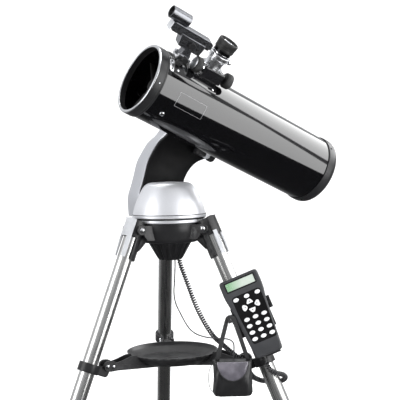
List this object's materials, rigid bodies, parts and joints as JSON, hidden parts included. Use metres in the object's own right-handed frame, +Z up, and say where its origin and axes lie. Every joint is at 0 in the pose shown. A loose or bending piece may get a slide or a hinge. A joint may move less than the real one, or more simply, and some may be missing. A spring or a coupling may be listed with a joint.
{
  "type": "newtonian reflector telescope",
  "caption": "Black reflecting telescope on a silver single-arm motorised alt-azimuth mount and a steel tripod with an accessory tray, finder, handset, cords and pouch.",
  "frame": {"origin": "on the floor, directly below the azimuth axis", "axes": "+Z up along the azimuth axis; the front of the handset faces -Y; the tube points to -X, a little to -Y and 24 degrees up"},
  "size_m": [0.6419, 0.5849, 1.0145],
  "materials": {
    "gloss_black_paint": "gloss black paint",
    "silver_shell": "satin silver paint over moulded plastic",
    "silver_metal": "satin silver",
    "black_plastic": "satin moulded black",
    "black_gloss_plastic": "smooth black moulding",
    "black_alloy": "black anodised",
    "steel_tube": "polished stainless",
    "grey_alloy": "grey metallic",
    "mirror_glass": "front-silvered glass",
    "lens_glass": "coated lens",
    "screen": "pale green-grey display window",
    "key_grey": "light grey matte",
    "black_rubber": "matte black rubber",
    "black_vinyl": "black vinyl, slightly shiny",
    "strap_web": "woven black tape"
  },
  "bodies": {
    "tripod": {"tripod_head": "black_plastic", "base_ring": "silver_metal", "azimuth_wheel": "black_plastic", "bracket_left": "black_plastic", "bracket_right": "black_plastic", "bracket_rear": "black_plastic", "upper_leg_left": "steel_tube", "upper_leg_right": "steel_tube", "upper_leg_rear": "steel_tube", "lock_collar_left": "black_plastic", "lock_collar_right": "black_plastic", "lock_collar_rear": "black_plastic", "tray_clamp_left": "black_plastic", "tray_clamp_right": "black_plastic", "tray_clamp_rear": "black_plastic", "tray": "black_plastic", "handset_holder": "black_plastic", "handset_case": "black_plastic", "handset_screen": "screen", "keypad": "black_rubber", "pouch": "black_vinyl", "pouch_strap": "strap_web", "curly_cord": "black_rubber", "power_cord": "black_rubber"},
    "mount_knob": {"mount_knob": "black_plastic"},
    "azimuth_arm": {"dome": "silver_shell", "arm_cover": "black_plastic", "arm_shell": "silver_shell"},
    "saddle": {"saddle": "black_alloy"},
    "saddle_knob": {"saddle_knob": "black_plastic"},
    "tube_assembly": {"dovetail": "black_alloy", "tube": "gloss_black_paint", "front_ring": "black_plastic", "rear_cell": "black_plastic", "primary_mirror": "mirror_glass", "spider": "black_alloy", "secondary_mirror": "mirror_glass", "focuser_body": "black_gloss_plastic", "finder_shoe": "black_plastic", "finder_body": "grey_alloy", "finder_lens": "lens_glass"},
    "focus_knobs": {"focus_knobs": "black_plastic"},
    "drawtube": {"drawtube": "grey_alloy"},
    "eyepiece_screw": {"eyepiece_screw": "grey_alloy"},
    "eyepiece": {"eyepiece": "black_alloy", "eyecup": "black_rubber"},
    "finder_dial": {"finder_dial": "black_plastic"},
    "key_up": {"key_up": "key_grey"},
    "key_left": {"key_left": "key_grey"},
    "key_down": {"key_down": "key_grey"},
    "key_right": {"key_right": "key_grey"},
    "leg_left": {"lower_leg_left": "steel_tube", "foot_left": "black_rubber"},
    "lock_knob_left": {"lock_knob_left": "black_plastic"},
    "leg_right": {"lower_leg_right": "steel_tube", "foot_right": "black_rubber"},
    "lock_knob_right": {"lock_knob_right": "black_plastic"},
    "leg_rear": {"lower_leg_rear": "steel_tube", "foot_rear": "black_rubber"},
    "lock_knob_rear": {"lock_knob_rear": "black_plastic"}
  },
  "joints": [
    {"name": "mount_knob_turn", "type": "hinge", "parent": "tripod", "child": "mount_knob", "pos_m": [0, 0, 0.57], "axis": [0, 0, 1], "continuous": true},
    {"name": "azimuth", "type": "hinge", "parent": "tripod", "child": "azimuth_arm", "pos_m": [0, 0, 0.62], "axis": [0, 0, 1], "continuous": true},
    {"name": "altitude", "type": "hinge", "parent": "azimuth_arm", "child": "saddle", "pos_m": [0.08559, 0.05286, 0.797], "axis": [-0.5255, 0.8508, 0], "range_deg": [-34, 47]},
    {"name": "saddle_knob_turn", "type": "hinge", "parent": "saddle", "child": "saddle_knob", "pos_m": [0.07485, 0.04623, 0.74898], "axis": [0.7773, 0.48, -0.4067], "continuous": true},
    {"name": "tube_slide", "type": "slide", "parent": "saddle", "child": "tube_assembly", "axis": [-0.7773, -0.48, 0.4067], "range_m": [-0.03, 0.03]},
    {"name": "focus_turn", "type": "hinge", "parent": "tube_assembly", "child": "focus_knobs", "pos_m": [0.09305, -0.12137, 0.89573], "axis": [0.7773, 0.48, -0.4067], "range_deg": [-125, 125]},
    {"name": "focus_slide", "type": "slide", "parent": "tube_assembly", "child": "drawtube", "axis": [0.5888, -0.3272, 0.7391], "range_m": [-0.012, 0.012]},
    {"name": "eyepiece_slide", "type": "slide", "parent": "drawtube", "child": "eyepiece", "axis": [0.5888, -0.3272, 0.7391], "range_m": [0, 0.03]},
    {"name": "eyepiece_screw_turn", "type": "hinge", "parent": "drawtube", "child": "eyepiece_screw", "pos_m": [0.10426, -0.11206, 0.92814], "axis": [0.7773, 0.48, -0.4067], "continuous": true},
    {"name": "finder_dial_turn", "type": "hinge", "parent": "tube_assembly", "child": "finder_dial", "pos_m": [0.05459, -0.15132, 0.94424], "axis": [0.2217, -0.8139, -0.537], "range_deg": [0, 270]},
    {"name": "leg_left_slide", "type": "slide", "parent": "tripod", "child": "leg_left", "axis": [-0.3159, -0.238, -0.9184], "range_m": [0, 0.34]},
    {"name": "lock_knob_left_turn", "type": "hinge", "parent": "tripod", "child": "lock_knob_left", "pos_m": [-0.26885, -0.20259, 0.08465], "axis": [-0.7335, -0.5527, 0.3955], "continuous": true},
    {"name": "leg_right_slide", "type": "slide", "parent": "tripod", "child": "leg_right", "axis": [0.3641, -0.1546, -0.9184], "range_m": [0, 0.34]},
    {"name": "lock_knob_right_turn", "type": "hinge", "parent": "tripod", "child": "lock_knob_right", "pos_m": [0.30987, -0.13153, 0.08465], "axis": [0.8454, -0.3589, 0.3955], "continuous": true},
    {"name": "leg_rear_slide", "type": "slide", "parent": "tripod", "child": "leg_rear", "axis": [-0.0482, 0.3926, -0.9184], "range_m": [0, 0.34]},
    {"name": "lock_knob_rear_turn", "type": "hinge", "parent": "tripod", "child": "lock_knob_rear", "pos_m": [-0.04102, 0.33412, 0.08465], "axis": [-0.1119, 0.9116, 0.3955], "continuous": true},
    {"name": "key_up_press", "type": "slide", "parent": "tripod", "child": "key_up", "axis": [0.057, 0.988, -0.1437], "range_m": [0, 0.001], "stiffness_N_per_m": 400},
    {"name": "key_left_press", "type": "slide", "parent": "tripod", "child": "key_left", "axis": [0.057, 0.988, -0.1437], "range_m": [0, 0.001], "stiffness_N_per_m": 400},
    {"name": "key_down_press", "type": "slide", "parent": "tripod", "child": "key_down", "axis": [0.057, 0.988, -0.1437], "range_m": [0, 0.001], "stiffness_N_per_m": 400},
    {"name": "key_right_press", "type": "slide", "parent": "tripod", "child": "key_right", "axis": [0.057, 0.988, -0.1437], "range_m": [0, 0.001], "stiffness_N_per_m": 400}
  ],
  "couplings": [
    {"joint": "focus_slide", "follows": "focus_turn", "m_per_rad": 0.0055}
  ]
}
